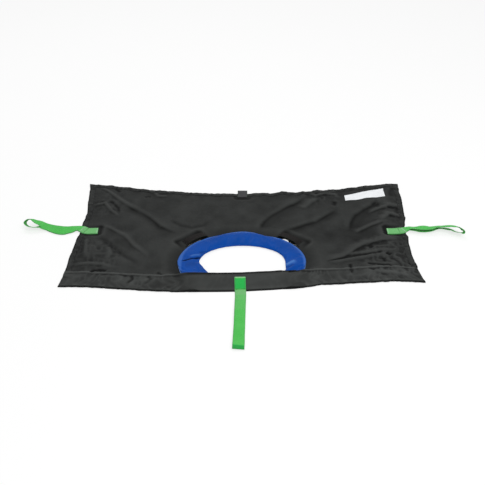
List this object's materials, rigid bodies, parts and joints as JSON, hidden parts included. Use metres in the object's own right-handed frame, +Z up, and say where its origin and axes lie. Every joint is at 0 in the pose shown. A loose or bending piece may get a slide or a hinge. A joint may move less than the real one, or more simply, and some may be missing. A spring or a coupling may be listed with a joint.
{
  "type": "transfer sheet with a padded opening",
  "caption": "Flat nylon transfer sheet with a D-shaped opening rimmed by a padded ring, a folded front band and webbing pull loops on its edges.",
  "frame": {"origin": "centre of the ring's opening, on the surface that the sheet lies on", "axes": "+X to the right along the sheet's width, +Y from the front band to the back edge, +Z up"},
  "size_m": [1.082, 0.6555, 0.0191],
  "materials": {
    "nylon": "coated woven nylon, slight sheen",
    "foam": "soft closed-cell foam",
    "vinyl": "satin vinyl",
    "green_webbing": "woven polyester",
    "black_webbing": "woven polyester",
    "label_cloth": "satin label tape"
  },
  "bodies": {
    "sheet": {"sheet_panel": "nylon", "left_hem": "nylon", "right_hem": "nylon", "back_hem": "nylon", "front_band": "nylon", "ring_foam": "foam", "ring_cover_top": "vinyl", "ring_cover_base": "vinyl", "ring_welt": "vinyl", "left_keeper": "black_webbing", "right_keeper": "black_webbing", "left_tail": "green_webbing", "right_tail": "green_webbing", "front_tail": "green_webbing", "rear_tail": "black_webbing", "label": "label_cloth"},
    "left_loop": {"left_loop": "green_webbing"},
    "right_loop": {"right_loop": "green_webbing"},
    "front_loop": {"front_loop": "green_webbing"},
    "rear_loop": {"rear_loop": "black_webbing"}
  },
  "joints": [
    {"name": "left_loop_flex", "type": "hinge", "parent": "sheet", "child": "left_loop", "pos_m": [-0.3976, 0.13, 0.006], "axis": [0, 1, 0], "range_deg": [-90, 165]},
    {"name": "right_loop_flex", "type": "hinge", "parent": "sheet", "child": "right_loop", "pos_m": [0.3976, 0.13, 0.006], "axis": [0, -1, 0], "range_deg": [-90, 165]},
    {"name": "front_loop_flex", "type": "hinge", "parent": "sheet", "child": "front_loop", "pos_m": [0, -0.11615, 0.0178], "axis": [-1, 0, 0], "range_deg": [-50, 165]},
    {"name": "rear_loop_flex", "type": "hinge", "parent": "sheet", "child": "rear_loop", "pos_m": [0, 0.3021, 0.006], "axis": [1, 0, 0], "range_deg": [-60, 165]}
  ]
}
